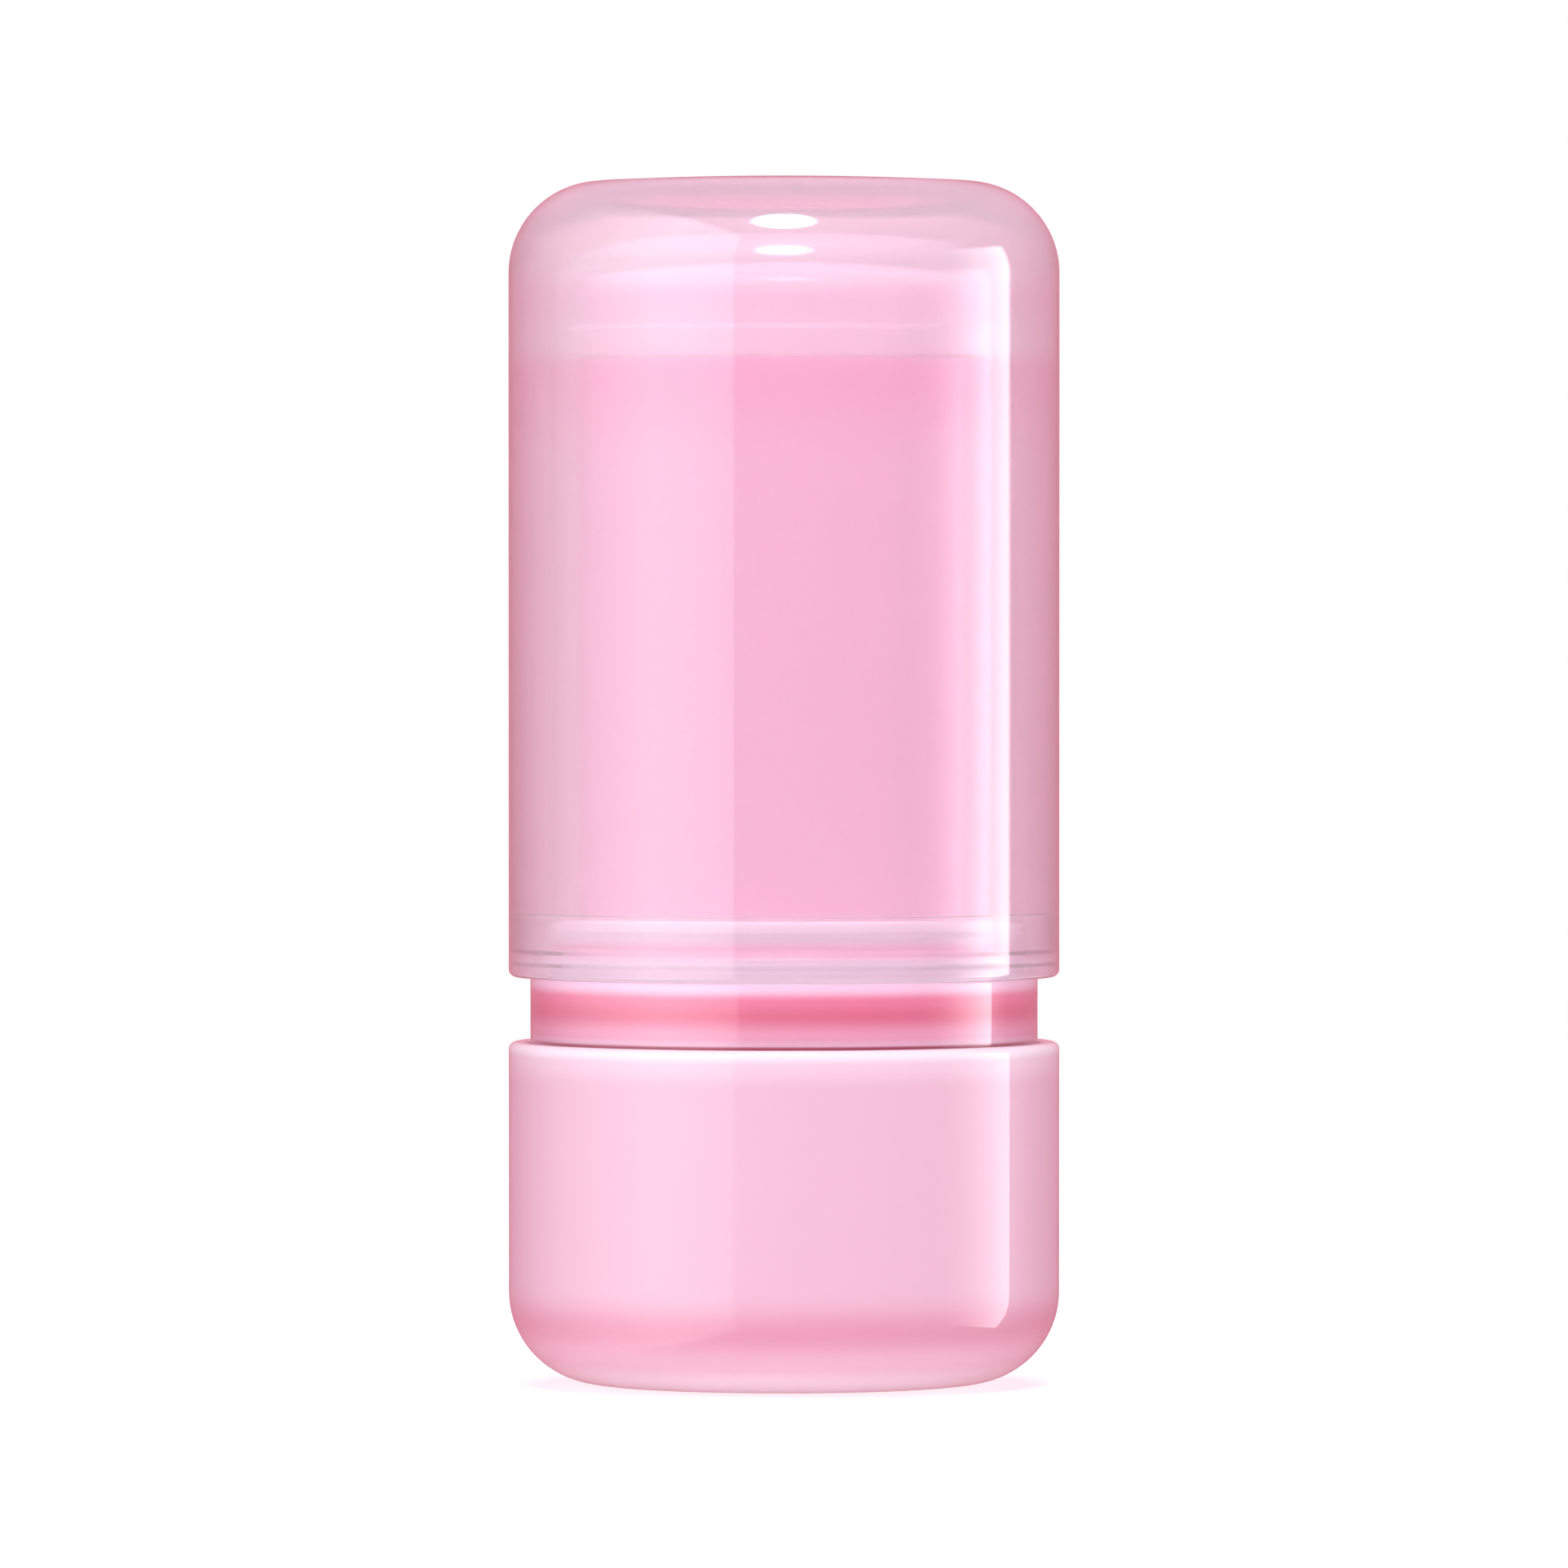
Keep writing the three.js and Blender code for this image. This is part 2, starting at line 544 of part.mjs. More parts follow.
// Cap: a thick domed shell whose mouth seats on the neck and snaps over the collar's spigot.
// Its own zero is its mouth.
function overCap() {
  const ceiling = capCeilingZ - neckTop;
  const top = capTop - neckTop;
  const mouthTop = SPIGOT_HEIGHT + 1.5 * SEAT_CLEARANCE;
  const landBottom = SPIGOT_HEIGHT - 2 * SNAP_HALF + SNAP_HEIGHT;
  const innerCornerR = capBore - CAP_INNER_CORNER_R;
  const cornerR = outerR - CAP_CORNER_R;
  return turned([
    [0, ceiling],
    ...arc(innerCornerR, ceiling - CAP_INNER_CORNER_R, CAP_INNER_CORNER_R, 90, 0),
    [capBore, mouthTop],
    [mouthLandR, mouthTop],
    [mouthLandR, landBottom],
    [mouthBore, landBottom - CAP_MOUTH_LAND],
    [mouthBore, SNAP_RISE + SNAP_HALF],
    [mouthBore + SNAP_HEIGHT, SNAP_RISE + SNAP_HALF / 2],
    [mouthBore + SNAP_HEIGHT, SNAP_RISE - SNAP_HALF / 2],
    [mouthBore, SNAP_RISE - SNAP_HALF],
    [mouthBore, SEAT_CHAMFER],
    [mouthBore + SEAT_CHAMFER, 0],
    ...arc(outerR - RIM_ROUND, RIM_ROUND, RIM_ROUND, -90, 0, 2),
    ...arc(cornerR, top - CAP_CROWN - CAP_CORNER_R, CAP_CORNER_R, 0, 90, 2 * ARC_STEPS),
    ...crown(cornerR, top - CAP_CROWN, CAP_CROWN),
  ]);
}

// ---- Materials ----
function plastic(colour, roughness) {
  return new THREE.MeshStandardMaterial({ color: colour, roughness, metalness: 0 });
}
const pinkGloss = plastic(0xf7bfdc, 0.15);
const neckPink = plastic(0xee90b0, 0.18);
const barrelPink = plastic(0xf8b0d2, 0.25);
const capTint = new THREE.MeshStandardMaterial({
  color: 0xf6c6de,
  roughness: 0.08,
  metalness: 0,
  transparent: true,
  opacity: 0.5,
});
const lidClear = new THREE.MeshStandardMaterial({
  color: 0xfdf0f6,
  roughness: 0.15,
  metalness: 0,
  transparent: true,
  opacity: 0.4,
});
const whitePlastic = plastic(0xf4f1ee, 0.35);
const balmWax = plastic(0xf6a9c0, 0.5);
const rubber = plastic(0xd8d4d2, 0.7);

// ---- The stick: one group for each body that moves, nested as they carry each other ----
function piece(name, solid, z, material) {
  const mesh = new THREE.Mesh(geometryOf(solid), material);
  mesh.name = name;
  mesh.position.z = z;
  return mesh;
}

const base = new THREE.Group();
base.add(piece("base_shell", baseShell(), 0, pinkGloss));
base.add(piece("base_core", baseCore(), BASE_FLOOR, whitePlastic));
base.add(piece("spindle", spindle(), thrustFaceZ, whitePlastic));
base.add(piece("spindle_seal", spindleSeal(), thrustFaceZ, rubber));

const turningBody = new THREE.Group();
turningBody.add(piece("collar", collar(), neckTop, neckPink));
turningBody.add(piece("barrel", barrel(), barrelBottom, barrelPink));

const riser = new THREE.Group();
riser.add(piece("balm_carrier", balmCarrier(), carrierBottom, whitePlastic));
riser.add(piece("balm_stick", balmStick(), balmBottom, balmWax));

const lid = new THREE.Group();
lid.add(piece("inner_lid", innerLid(), lidBottom, lidClear));

const cap = new THREE.Group();
cap.add(piece("over_cap", overCap(), neckTop, capTint));

lid.add(cap);
riser.add(lid);
turningBody.add(riser);
base.add(turningBody);

const stick = new THREE.Group();
stick.add(base);
export default stick;
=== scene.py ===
"""Looks of the twist-up balm stick: fine turned surfaces, moulded-plastic materials and a soft studio."""

import math

import bmesh
import bpy
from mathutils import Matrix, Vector


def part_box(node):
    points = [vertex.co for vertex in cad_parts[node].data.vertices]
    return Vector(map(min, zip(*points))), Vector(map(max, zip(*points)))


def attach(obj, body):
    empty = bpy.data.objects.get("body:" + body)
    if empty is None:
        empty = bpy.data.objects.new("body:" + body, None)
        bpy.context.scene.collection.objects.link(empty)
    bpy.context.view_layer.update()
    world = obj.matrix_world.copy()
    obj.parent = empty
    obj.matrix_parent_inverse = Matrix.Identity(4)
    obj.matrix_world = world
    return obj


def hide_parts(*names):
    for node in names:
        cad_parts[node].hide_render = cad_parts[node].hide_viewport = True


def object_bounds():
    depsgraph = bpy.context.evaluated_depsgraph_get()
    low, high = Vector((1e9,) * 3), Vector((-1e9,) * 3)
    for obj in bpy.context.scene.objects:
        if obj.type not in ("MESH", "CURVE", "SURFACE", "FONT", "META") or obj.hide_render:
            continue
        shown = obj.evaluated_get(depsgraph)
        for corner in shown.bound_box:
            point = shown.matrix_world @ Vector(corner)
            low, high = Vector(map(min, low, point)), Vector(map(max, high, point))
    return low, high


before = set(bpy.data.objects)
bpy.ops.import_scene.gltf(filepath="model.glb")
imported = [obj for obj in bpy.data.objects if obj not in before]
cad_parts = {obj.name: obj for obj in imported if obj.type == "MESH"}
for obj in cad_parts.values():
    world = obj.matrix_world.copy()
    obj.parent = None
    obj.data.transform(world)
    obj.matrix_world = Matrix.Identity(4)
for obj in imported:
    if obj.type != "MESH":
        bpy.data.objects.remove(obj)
cad_low, cad_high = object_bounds()
MM = 0.001
SIDES = 192

# Sizes inside the pieces, in millimetres, as in the CAD model. A wall's start lies past its corner.
BASE_WALL = 1.8
BASE_FLOOR = 2.0
BASE_INNER_CORNER = 3.2
FOOT_RING = 2.0
FOOT_RECESS = 0.4
FOOT_CHAMFER = 0.2
FOOT_EDGE = 0.15
CORNER = 5.0
RIM_ROUND = 0.4
RIM_DEPTH = 1.0
RIM_BORE = 13.95
RIM_EDGE = 0.15
RETAINER = 0.25
END_GAP = 0.3
NECK_HEIGHT = 3.55
SKIRT_R = 11.97
SKIRT_BORE = 10.77
CLIP_RISE = 1.9
CLIP_HEIGHT = 0.35
CLIP_HALF = 0.5
SPIGOT_R = 13.1
SNAP_R = 13.3
SNAP_RISE = 1.15
SNAP_HALF = 0.45
WAIST_R = 12.85
WAIST_TOP = 2.5
COLLAR_BORE = 11.4
LEDGE_R = 7.97
LEDGE_THICK = 1.2
SEAT_RISE = 1.0
BEAD_RISE = 1.4
BEAD = 0.25
BEAD_HALF = 0.4
BARREL_R = 11.3
BARREL_BORE = 10.0
BARREL_HOLE = 3.1
BARREL_FLOOR = 1.8
GLAND = 4.35
GLAND_DEPTH = 1.1
GUIDES = 4
GUIDE_WIDTH = 1.6
GUIDE_DEPTH = 0.55
BALM_R = 9.8
BALM_BORE = 3.1
BALM_TOP_WALL = 4.4
BALM_CORNER = 1.2
BALM_SLOPE = 15  # of the crown where it meets its corner, in degrees
BALM_WALL_START = 0.6
CUP_BORE = 8.85
CUP_RISE = 5.8
NUT_R = 4.3
NUT_RISE = 3.9
CAP_BORE = 12.7
CAP_ROOF = 3.0
CAP_CROWN = 0.25
CAP_INNER_CORNER = 2.7
CAP_WALL_START = 1.0
MOUTH_BORE = 13.4
MOUTH_LAND = 0.1
MOUTH_GROOVE = 0.1
MOUTH_DEPTH = 3.55
MOUTH_FLAT = 0.8
LID_FLANGE = 0.55
LID_BORE = 11.4
LID_ROOF = 0.7
LID_OVERHANG = 0.3  # of the lid's hollow past the barrel's bore
LID_CORNER = 1.0
LID_SLOPE = 18  # of the crown where it meets its corner, in degrees
LID_WALL_START = 0.5
LID_FLANGE_HEIGHT = 1.68
LID_GRIP = 3.64

# Rounds on small edges, from the finest to the largest.
HAIR = 0.03
THIN = 0.05
FINE = 0.1
SNAP_ROUND = 0.12
SOFT = 0.15
EDGE = 0.2
GRIP_ROUND = 0.25
LIP = 0.3


def reach(node):
    """A turned CAD node's outer radius, lowest level and highest level, in millimetres."""
    low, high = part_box(node)
    return high.x / MM, low.z / MM, high.z / MM


base_r, base_low, base_high = reach("base_shell")
neck_r, skirt_low, spigot_high = reach("collar")
barrel_low, barrel_high = reach("barrel")[1:]
balm_low, balm_high = reach("balm_stick")[1:]
flange_r, lid_low, lid_high = reach("inner_lid")
cap_r, cap_low, cap_high = reach("over_cap")
neck_top = base_high + NECK_HEIGHT


# ---- Turned surfaces ----
def filleted(corners, steps=5):
    """A profile of (radius, level, fillet) corners with each fillet drawn as an arc."""
    out = []
    n = len(corners)
    for i, (r, z, fillet) in enumerate(corners):
        here = Vector((r, z))
        back = Vector(corners[i - 1][:2]) - here
        ahead = Vector(corners[(i + 1) % n][:2]) - here
        if fillet <= 0 or back.length < 1e-6 or ahead.length < 1e-6:
            out.append((r, z))
            continue
        turn = back.angle(ahead)
        if turn > math.radians(178):
            out.append((r, z))
            continue
        cut = min(fillet / math.tan(turn / 2), 0.49 * back.length, 0.49 * ahead.length)
        radius = cut * math.tan(turn / 2)
        inward = (back.normalized() + ahead.normalized()).normalized()
        centre = here + inward * (radius / math.sin(turn / 2))
        first = here + back.normalized() * cut - centre
        last = here + ahead.normalized() * cut - centre
        sweep = first.angle_signed(last)
        count = max(2, round(steps * abs(sweep) / (math.pi / 2)) + 1)
        for k in range(count + 1):
            cos, sin = math.cos(-sweep * k / count), math.sin(-sweep * k / count)
            p = centre + Vector((first.x * cos - first.y * sin, first.x * sin + first.y * cos))
            out.append((p.x, p.y))
    return out


def arc(r, z, radius, start, end, steps=12):
    """Points of an arc about (r, z) between two angles in degrees."""
    turns = [math.radians(start + (end - start) * i / steps) for i in range(steps + 1)]
    return [(r + radius * math.cos(t), z + radius * math.sin(t)) for t in turns]


def crown(radius, z, height, steps=14):
    """A crowned top from its edge in to the axis."""
    shares = [1 - (i + 1) / steps for i in range(steps)]
    return [(radius * s, z + height * (1 - s * s)) for s in shares]


def turned(name, profile, angles=None, reshape=None):
    """A closed surface of revolution, with one vertex on the axis; reshape moves a point by its angle."""
    angles = angles or [2 * math.pi * i / SIDES for i in range(SIDES)]
    bm = bmesh.new()
    rings = []
    for index, (r, z) in enumerate(profile):
        if r < 1e-6:
            rings.append([bm.verts.new((0, 0, z * MM))])
            continue
        ring = []
        for a in angles:
            q, w = reshape(index, r, z, a) if reshape else (r, z)
            ring.append(bm.verts.new((q * math.cos(a) * MM, q * math.sin(a) * MM, w * MM)))
        rings.append(ring)
    count = len(angles)
    closed = len(rings[0]) > 1
    pairs = zip(rings, rings[1:] + rings[:1]) if closed else zip(rings, rings[1:])
    for low, high in pairs:
        for k in range(count):
            j = (k + 1) % count
            if len(low) == 1 and len(high) == 1:
                break
            if len(low) == 1:
                bm.faces.new((low[0], high[j], high[k]))
            elif len(high) == 1:
                bm.faces.new((low[k], low[j], high[0]))
            else:
                bm.faces.new((low[k], low[j], high[j], high[k]))
    bm.normal_update()
    if bm.calc_volume(signed=True) < 0:
        bmesh.ops.reverse_faces(bm, faces=bm.faces)
    mesh = bpy.data.meshes.new(name)
    bm.to_mesh(mesh)
    bm.free()
    mesh.polygons.foreach_set("use_smooth", [True] * len(mesh.polygons))
    mesh.set_sharp_from_angle(angle=math.radians(32))
    piece = bpy.data.objects.new(name, mesh)
    bpy.context.collection.objects.link(piece)
    return piece


# ---- Materials ----
DRIFT_SCALE = 90
GRAIN_DEPTH = 0.00005
GLOSS_SPREAD = (0.85, 1.2)  # a surface's roughness runs between these shares of its own


def links(material):
    tree = material.node_tree
    return tree.nodes, tree.links


def plastic(name, colour, deep, roughness, scale=900, grain=0.02, coat=0.0, ior=1.49, polish=0.03):
    """Moulded plastic: a faint drift of colour, uneven gloss and a fine surface grain."""
    material = bpy.data.materials.new(name)
    material.use_nodes = True
    nodes, link = links(material)
    shader = nodes["Principled BSDF"]
    place = nodes.new("ShaderNodeTexCoord")
    drift = nodes.new("ShaderNodeTexNoise")
    drift.inputs["Scale"].default_value = DRIFT_SCALE
    drift.inputs["Detail"].default_value = 3
    tint = nodes.new("ShaderNodeMix")
    tint.data_type = "RGBA"
    tint.inputs["A"].default_value = (*colour, 1)
    tint.inputs["B"].default_value = (*deep, 1)
    fine = nodes.new("ShaderNodeTexNoise")
    fine.inputs["Scale"].default_value = scale
    fine.inputs["Detail"].default_value = 4
    gloss = nodes.new("ShaderNodeMapRange")
    gloss.inputs["To Min"].default_value = roughness * GLOSS_SPREAD[0]
    gloss.inputs["To Max"].default_value = roughness * GLOSS_SPREAD[1]
    for texture in (drift, fine):
        link.new(place.outputs["Object"], texture.inputs["Vector"])
    link.new(drift.outputs["Fac"], tint.inputs["Factor"])
    link.new(tint.outputs["Result"], shader.inputs["Base Color"])
    link.new(fine.outputs["Fac"], gloss.inputs["Value"])
    link.new(gloss.outputs["Result"], shader.inputs["Roughness"])
    if grain:
        bump = nodes.new("ShaderNodeBump")
        bump.inputs["Strength"].default_value = grain
        bump.inputs["Distance"].default_value = GRAIN_DEPTH
        link.new(fine.outputs["Fac"], bump.inputs["Height"])
        link.new(bump.outputs["Normal"], shader.inputs["Normal"])
    shader.inputs["IOR"].default_value = ior
    shader.inputs["Coat Weight"].default_value = coat
    shader.inputs["Coat Roughness"].default_value = polish
    return material, shader


def paint_light_and_shade_by_height(material, stops):
    """Multiplies painted light and shade into the base colour by height, in millimetres: lighter bands
    stand for light caught in rims and walls, darker bands for shade.
    """
    nodes, link = links(material)
    low, high = stops[0][0], stops[-1][0]
    place = nodes.new("ShaderNodeTexCoord")
    split = nodes.new("ShaderNodeSeparateXYZ")
    height = nodes.new("ShaderNodeMapRange")
    height.inputs["From Min"].default_value = low * MM
    height.inputs["From Max"].default_value = high * MM
    shade = nodes.new("ShaderNodeValToRGB")
    shade.color_ramp.interpolation = "EASE"
    while len(shade.color_ramp.elements) < len(stops):
        shade.color_ramp.elements.new(0.5)
    for stop, (z, value) in zip(shade.color_ramp.elements, stops):
        stop.position = (z - low) / (high - low)
        stop.color = (*value, 1)
    link.new(place.outputs["Object"], split.inputs["Vector"])
    link.new(split.outputs["Z"], height.inputs["Value"])
    link.new(height.outputs["Result"], shade.inputs["Fac"])
    target = nodes["Principled BSDF"].inputs["Base Color"]
    both = nodes.new("ShaderNodeMix")
    both.data_type = "RGBA"
    both.blend_type = "MULTIPLY"
    both.inputs["Factor"].default_value = 1
    link.new(target.links[0].from_socket, both.inputs["A"])
    link.new(shade.outputs["Color"], both.inputs["B"])
    link.new(both.outputs["Result"], target)


def clear(name, colour, deep, roughness, haze, absorb=None, density=0.0, shadow=None, coat=0.0):
    """Clear plastic that lamps shine through, with a little haze and the tint of its own thickness."""
    material, shader = plastic(name, colour, deep, roughness, scale=120, grain=0, coat=coat)
    nodes, link = links(material)
    shader.inputs["Transmission Weight"].default_value = 1 - haze
    if shadow:
        through = nodes.new("ShaderNodeBsdfTransparent")
        through.inputs["Color"].default_value = (*shadow, 1)
        path = nodes.new("ShaderNodeLightPath")
        pick = nodes.new("ShaderNodeMixShader")
        link.new(path.outputs["Is Shadow Ray"], pick.inputs["Fac"])
        link.new(shader.outputs["BSDF"], pick.inputs[1])
        link.new(through.outputs["BSDF"], pick.inputs[2])
        link.new(pick.outputs["Shader"], nodes["Material Output"].inputs["Surface"])
    if absorb:
        volume = nodes.new("ShaderNodeVolumeAbsorption")
        volume.inputs["Color"].default_value = (*absorb, 1)
        volume.inputs["Density"].default_value = density
        link.new(volume.outputs["Volume"], nodes["Material Output"].inputs["Volume"])
    return material


base_pink, base_shine = plastic("base_pink", (0.91, 0.94, 0.96), (0.89, 0.92, 0.94), 0.35, coat=0.8)
base_shine.inputs["Specular IOR Level"].default_value = 0.3
# Painted light and shade on the base: the foot's bottom and the top rim are lighter as if lit there, and
# the lower curve of the foot is deeper as if in shade. The band between is the base's own pink.
paint_light_and_shade_by_height(
    base_pink,
    [
        (base_low + 0.3, (0.98, 0.78, 0.86)),
        (base_low + 1.6, (0.82, 0.48, 0.60)),
        (base_low + 3.4, (0.76, 0.33, 0.45)),
        (base_low + CORNER + 0.6, (0.80, 0.49, 0.62)),
        (base_high - 2.2, (0.80, 0.49, 0.62)),
        (base_high - 0.8, (0.86, 0.60, 0.72)),
        (base_high - 0.3, (0.94, 0.82, 0.90)),
    ],
)
collar_pink, _ = plastic("collar_pink", (0.95, 0.94, 0.97), (0.93, 0.92, 0.95), 0.30, coat=1.0, ior=1.55)
# Painted light and shade on the collar: a dark line of painted shade at the joint with the base, pale
# bands of painted reflected light at the neck's bottom and top, and a deep coral band of painted shade
# round its middle. On the spigot there are painted highlights on the snap bead and the top ring, with
# painted shade in the groove between.
paint_light_and_shade_by_height(
    collar_pink,
    [
        (base_high, (0.42, 0.06, 0.11)),
        (base_high + 0.08, (0.42, 0.06, 0.11)),
        (base_high + 0.22, (0.84, 0.54, 0.68)),
        (base_high + 0.6, (0.80, 0.36, 0.51)),
        (base_high + 1.8, (0.67, 0.15, 0.25)),
        (base_high + 2.6, (0.73, 0.20, 0.32)),
        (base_high + 3.3, (0.82, 0.58, 0.72)),
        (neck_top + 0.85, (0.90, 0.92, 0.96)),
        (neck_top + 1.85, (0.88, 0.38, 0.57)),
        (neck_top + 2.55, (0.92, 0.92, 0.96)),
        (neck_top + 3.3, (1, 1, 1)),
    ],
)
barrel_pink, _ = plastic(
    "barrel_pink", (0.90, 0.49, 0.69), (0.88, 0.46, 0.67), 0.25, coat=1.0, ior=1.55, polish=0.2
)
white_plastic, _ = plastic("white_plastic", (0.82, 0.80, 0.77), (0.78, 0.75, 0.72), 0.35, grain=0.05)
seal_rubber, _ = plastic("seal_rubber", (0.60, 0.58, 0.57), (0.52, 0.50, 0.49), 0.6, grain=0.1)
balm_wax, wax = plastic("balm_wax", (0.84, 0.36, 0.50), (0.82, 0.32, 0.46), 0.42, scale=500, grain=0.15)
wax.inputs["Subsurface Weight"].default_value = 0.2
wax.inputs["Subsurface Radius"].default_value = (1.0, 0.4, 0.35)
wax.inputs["Subsurface Scale"].default_value = MM
cap_clear = clear(
    "cap_clear",
    (0.94, 0.98, 0.99),
    (0.93, 0.97, 0.98),
    0.10,
    0.18,
    absorb=(0.85, 0.40, 0.60),
    density=75,
    shadow=(0.97, 0.94, 0.965),
    coat=0.65,
)
# Painted light and shade in the cap's tint: a pale band at the mouth's rim, a white painted highlight
# where the collar's top ring shows through, painted shade just under the lid's flange, and lighter
# painted bands over the flange and the lid's top.
paint_light_and_shade_by_height(
    cap_clear,
    [
        (cap_low, (1, 1, 1)),
        (cap_low + 0.55, (0.97, 0.86, 0.92)),
        (spigot_high - 0.15, (0.97, 0.88, 0.93)),
        (spigot_high + 0.1, (1, 1, 1)),
        (spigot_high + 0.35, (0.97, 0.88, 0.93)),
        (lid_low - 6, (0.97, 0.88, 0.93)),
        (lid_low - 0.8, (0.97, 0.80, 0.88)),
        (lid_low + 0.8, (0.97, 0.93, 0.96)),
        (lid_low + 3.2, (0.96, 0.88, 0.93)),
        (lid_high - 1.2, (0.96, 0.95, 0.97)),
        (cap_high, (0.98, 0.93, 0.96)),
    ],
)
lid_clear = clear(
    "lid_clear",
    (0.97, 0.84, 0.90),
    (0.96, 0.82, 0.89),
    0.20,
    0.32,
    shadow=(0.98, 0.95, 0.97),
)


def dress(piece, material, body, slot, *nodes):
    """Gives a piece its material and its body, and hides the CAD nodes that it stands for; the slot is
    not used.
    """
    piece.data.materials.append(material)
    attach(piece, body)
    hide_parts(*nodes)


# ---- Base ----
base_bore = base_r - BASE_WALL
rim_floor = base_high - RIM_DEPTH
foot = base_r - CORNER
foot_bore = foot - FOOT_RING
base_profile = [
    (0, FOOT_RECESS),
    (foot_bore - FOOT_CHAMFER, FOOT_RECESS),
    (foot_bore, FOOT_RECESS - FOOT_CHAMFER),
    (foot_bore, FOOT_EDGE),
    (foot_bore + FOOT_EDGE, 0),
]
base_profile += arc(foot, CORNER, CORNER, -90, 0, steps=20)
base_profile += arc(base_r - RIM_ROUND, base_high - RIM_ROUND, RIM_ROUND, 0, 90, steps=8)
base_profile += arc(RIM_BORE + RIM_EDGE, base_high - RIM_EDGE, RIM_EDGE, 90, 180, steps=4)
base_profile += [
    (RIM_BORE, rim_floor),
    (base_bore - RETAINER, rim_floor),
    (base_bore - RETAINER, rim_floor - RETAINER),
    (base_bore, rim_floor - 2 * RETAINER),
]
inner = base_bore - BASE_INNER_CORNER
base_profile += arc(inner, BASE_FLOOR + BASE_INNER_CORNER, BASE_INNER_CORNER, 0, -90, steps=8)
base_profile += [(0, BASE_FLOOR)]
dress(turned("base_skin", base_profile), base_pink, "base_body", "base_gloss", "base_shell")

# ---- Collar ----
seat = base_high + SEAT_RISE
neck_low = rim_floor + END_GAP
clip = skirt_low + CLIP_RISE
snap = neck_top + SNAP_RISE
bead = seat + BEAD_RISE
waist_low = snap + SNAP_HALF
waist_high = neck_top + WAIST_TOP
step = SPIGOT_R - WAIST_R
collar_corners = [
    (SKIRT_BORE, skirt_low, FINE),
    (SKIRT_R, skirt_low, EDGE),
    (SKIRT_R, clip - CLIP_HALF, 0),
    (SKIRT_R + CLIP_HEIGHT, clip - CLIP_HALF / 2, FINE),
    (SKIRT_R + CLIP_HEIGHT, clip + CLIP_HALF / 2, FINE),
    (SKIRT_R, clip + CLIP_HALF, 0),
    (SKIRT_R, neck_low, FINE),
    (neck_r, neck_low, EDGE),
    (neck_r, neck_top, FINE),
    (SPIGOT_R, neck_top, FINE),
    (SPIGOT_R, snap - SNAP_HALF, SOFT),
    (SNAP_R, snap - SNAP_HALF / 3, SNAP_ROUND),
    (SNAP_R, snap + SNAP_HALF / 3, SNAP_ROUND),
    (SPIGOT_R, waist_low, SOFT),
    (WAIST_R, waist_low + step, SOFT),
    (WAIST_R, waist_high, SOFT),
    (SPIGOT_R, waist_high + step, SOFT),
    (SPIGOT_R, spigot_high, LIP),
    (COLLAR_BORE, spigot_high, FINE),
    (COLLAR_BORE, bead + CLIP_HALF, 0),
    (COLLAR_BORE + BEAD, bead + CLIP_HALF / 2, FINE),
    (COLLAR_BORE + BEAD, bead - CLIP_HALF / 2, FINE),
    (COLLAR_BORE, bead - CLIP_HALF, 0),
    (COLLAR_BORE, seat, 0),
    (LEDGE_R, seat, FINE),
    (LEDGE_R, seat - LEDGE_THICK, FINE),
    (SKIRT_BORE, seat - LEDGE_THICK, FINE),
]
collar_skin = turned("collar_skin", filleted(collar_corners))
dress(collar_skin, collar_pink, "barrel_body", "collar_gloss", "collar")

# ---- Barrel, with upright guides cut in its bore ----
guide_half = GUIDE_WIDTH / 2 / BARREL_BORE
GUIDE_EDGE = 0.004  # turn over which a guide's side falls, in radians
CLEAR_TURN = 0.01  # turn beside a guide that is kept free of other lines
SAME_TURN = 1e-6  # two turns closer than this are the same
NEAR = 0.01  # two sizes closer than this are the same
BORE_BAND = 0.25  # how far past the bore's radius its rounded mouth reaches


def turn_between(a, b):
    """The smaller turn between two angles."""
    return abs((a - b + math.pi) % (2 * math.pi) - math.pi)


guide_turns = [2 * math.pi * g / GUIDES for g in range(GUIDES)]
guide_lines = [-guide_half - GUIDE_EDGE, -guide_half, -guide_half / 2, 0]
guide_lines += [-line for line in guide_lines[:3]]
barrel_angles = {(turn + line) % (2 * math.pi) for turn in guide_turns for line in guide_lines}
for i in range(SIDES):
    angle = 2 * math.pi * i / SIDES
    if min(turn_between(angle, turn) for turn in guide_turns) > guide_half + CLEAR_TURN:
        barrel_angles.add(angle)
barrel_bead = barrel_low + BEAD_RISE
barrel_corners = [
    (BARREL_HOLE, barrel_low + BARREL_FLOOR, FINE),
    (BARREL_HOLE, barrel_low + GLAND_DEPTH, THIN),
    (GLAND, barrel_low + GLAND_DEPTH, THIN),
    (GLAND, barrel_low, FINE),
    (BARREL_R, barrel_low, EDGE),
    (BARREL_R, barrel_bead - BEAD_HALF, 0),
    (BARREL_R + BEAD, barrel_bead - BEAD_HALF / 2, FINE),
    (BARREL_R + BEAD, barrel_bead + BEAD_HALF / 2, FINE),
    (BARREL_R, barrel_bead + BEAD_HALF, 0),
    (BARREL_R, barrel_high, LIP),
    (BARREL_BORE, barrel_high, EDGE),
    (BARREL_BORE, barrel_low + BARREL_FLOOR, 0),
]


def in_guide(index, r, z, a):
    """The bore's points lie deeper where a guide runs."""
    near = min(turn_between(a, turn) for turn in guide_turns)
    in_bore = BARREL_BORE - NEAR < r < BARREL_BORE + BORE_BAND
    above_floor = z > barrel_low + BARREL_FLOOR - NEAR
    in_turn = near <= guide_half + SAME_TURN
    return (r + GUIDE_DEPTH if in_bore and above_floor and in_turn else r), z


barrel_skin = turned("barrel_skin", filleted(barrel_corners), sorted(barrel_angles), in_guide)
dress(barrel_skin, barrel_pink, "barrel_body", "barrel_gloss", "barrel")

